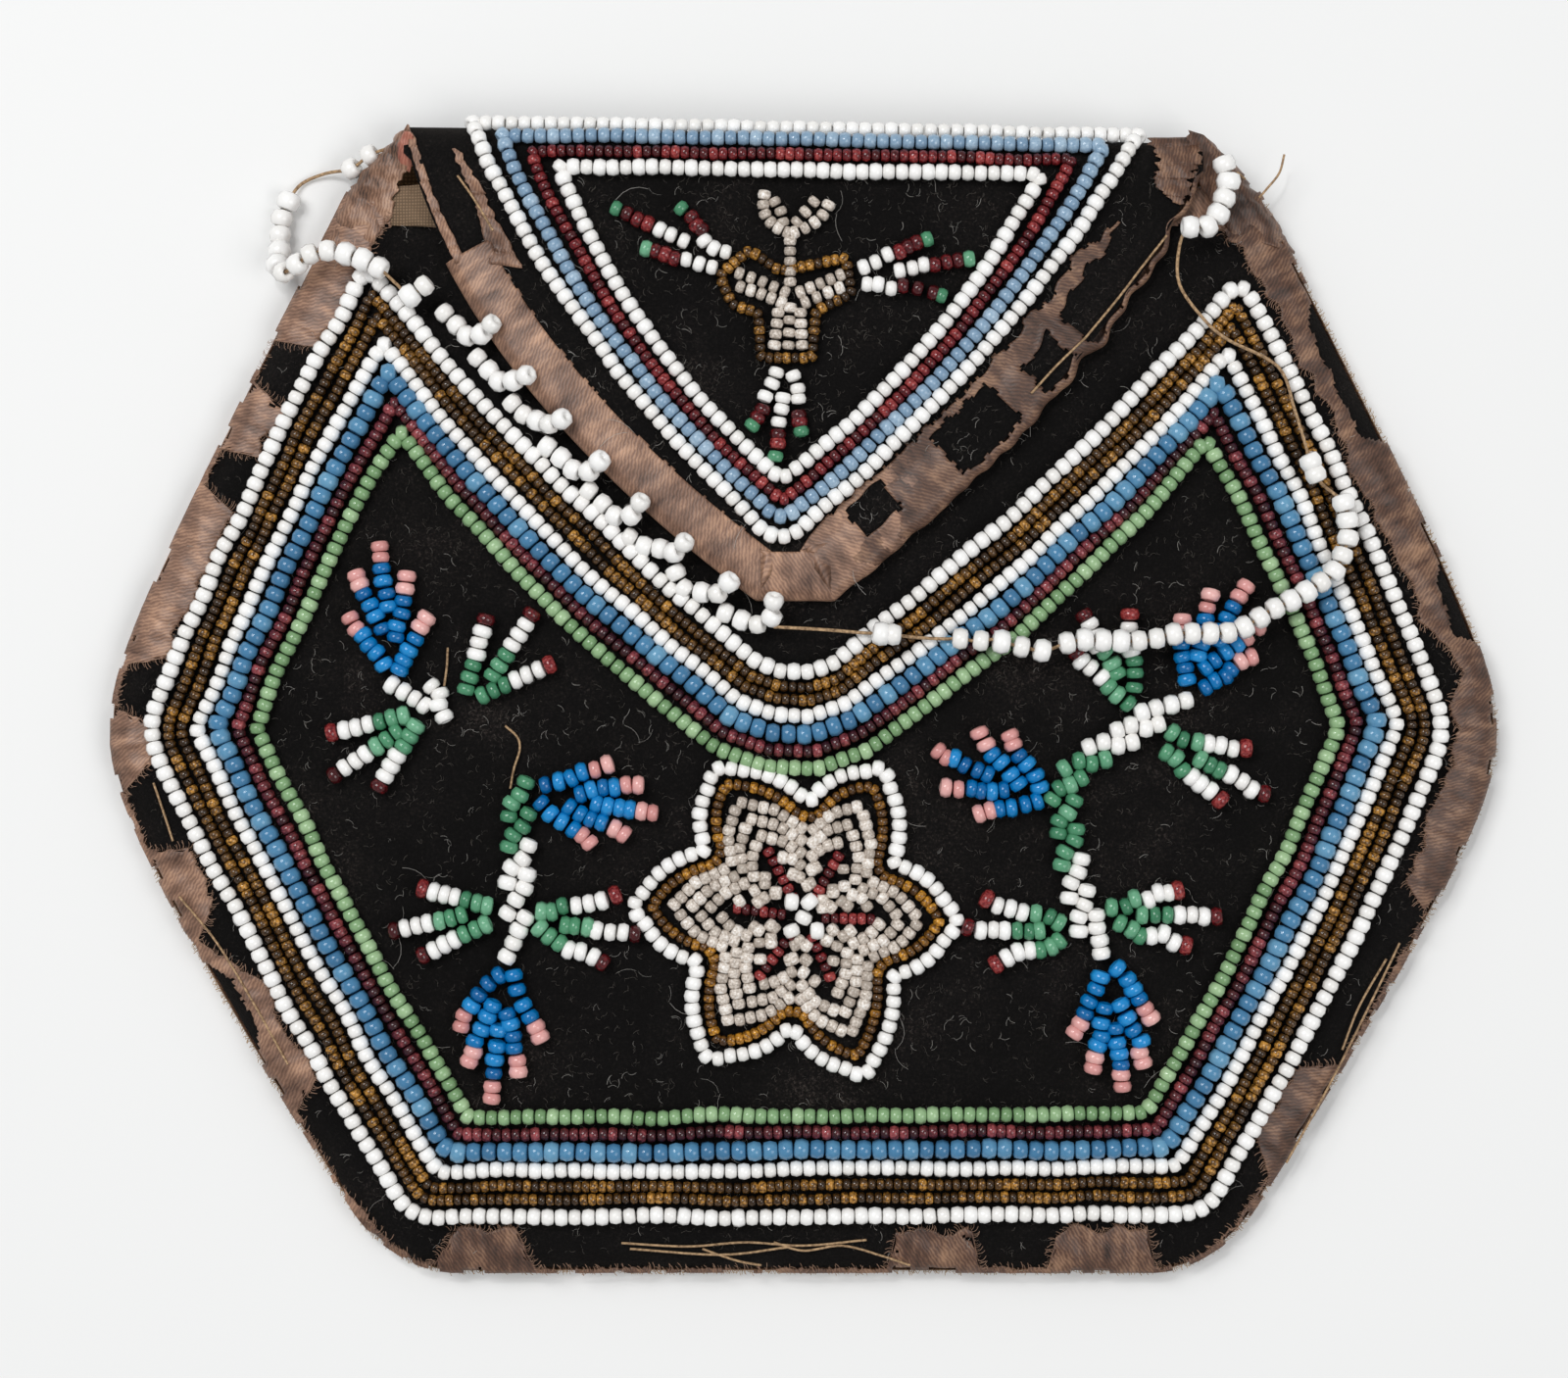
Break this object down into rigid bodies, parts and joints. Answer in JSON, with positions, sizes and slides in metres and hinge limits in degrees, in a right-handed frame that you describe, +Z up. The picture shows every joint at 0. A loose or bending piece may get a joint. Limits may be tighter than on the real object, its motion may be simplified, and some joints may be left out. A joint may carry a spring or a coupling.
{
  "type": "beaded pouch",
  "caption": "Flat black velvet pouch with a pointed flap, worn ribbon binding and floral bead embroidery, for carrying small things.",
  "frame": {"origin": "middle of the footprint, on the surface the pouch lies on", "axes": "+Z up from the back to the beaded front, +Y towards the mouth and the fold, X across the width"},
  "size_m": [0.1654, 0.1378, 0.0144],
  "materials": {
    "velvet": "dull cotton velvet with a short black pile",
    "lining_cotton": "plain unbleached cotton",
    "silk_ribbon": "worn brown silk ribbon with a soft sheen",
    "glass_white": "opaque white glass seed beads, glossy",
    "glass_amber": "dark amber glass seed beads, glossy",
    "glass_blue": "opaque light blue glass seed beads, glossy",
    "glass_spray_blue": "opaque mid blue glass seed beads, glossy",
    "glass_pale_blue": "translucent pale blue glass seed beads, glossy",
    "glass_garnet": "dark red glass seed beads, glossy",
    "glass_light_green": "opaque light green glass seed beads, glossy",
    "glass_spray_green": "opaque green glass seed beads, glossy",
    "glass_clear": "colourless glass seed beads, glossy"
  },
  "bodies": {
    "root": {"front_velvet": "velvet", "back_flap_velvet": "velvet", "front_lining": "lining_cotton", "back_flap_lining": "lining_cotton", "body_binding": "silk_ribbon", "mouth_binding": "silk_ribbon", "flap_binding": "silk_ribbon", "row_white_outer": "glass_white", "row_white_inner": "glass_white", "row_amber_outer": "glass_amber", "row_amber_inner": "glass_amber", "row_blue": "glass_blue", "row_garnet": "glass_garnet", "row_green": "glass_light_green", "flap_row_white_outer": "glass_white", "flap_row_white_inner": "glass_white", "flap_row_pale_blue": "glass_pale_blue", "flap_row_red": "glass_garnet", "star_white_outline": "glass_white", "star_amber_outline": "glass_amber", "star_clear_row_outer": "glass_clear", "star_clear_row_inner": "glass_clear", "star_centre_beads": "glass_white", "flap_flower_outline": "glass_amber", "flap_flower_petals": "glass_clear", "flap_sprig": "glass_clear", "flap_spray_left": "glass_spray_green", "flap_spray_right": "glass_spray_green", "flap_spray_point": "glass_spray_green", "edging_strand_left": "glass_white", "loose_strand_right": "glass_white", "loose_strand_left": "glass_white", "spray_blue_left_top": "glass_spray_blue", "spray_blue_left_inner": "glass_spray_blue", "spray_blue_left_bottom": "glass_spray_blue", "spray_green_left_top": "glass_spray_green", "spray_green_left_outer": "glass_spray_green", "spray_green_left_lower": "glass_spray_green", "spray_green_left_inner": "glass_spray_green", "stem_white_left_top": "glass_white", "stem_white_left": "glass_white", "stem_green_left": "glass_spray_green", "spray_blue_right_top": "glass_spray_blue", "spray_blue_right_inner": "glass_spray_blue", "spray_blue_right_bottom": "glass_spray_blue", "spray_green_right_top": "glass_spray_green", "spray_green_right_outer": "glass_spray_green", "spray_green_right_lower": "glass_spray_green", "spray_green_right_inner": "glass_spray_green", "stem_white_right_top": "glass_white", "stem_white_right": "glass_white", "stem_green_right": "glass_spray_green", "star_red_ray_1": "glass_garnet", "star_red_ray_2": "glass_garnet", "star_red_ray_3": "glass_garnet", "star_red_ray_4": "glass_garnet", "star_red_ray_5": "glass_garnet", "star_red_ray_6": "glass_garnet"}
  },
  "joints": []
}
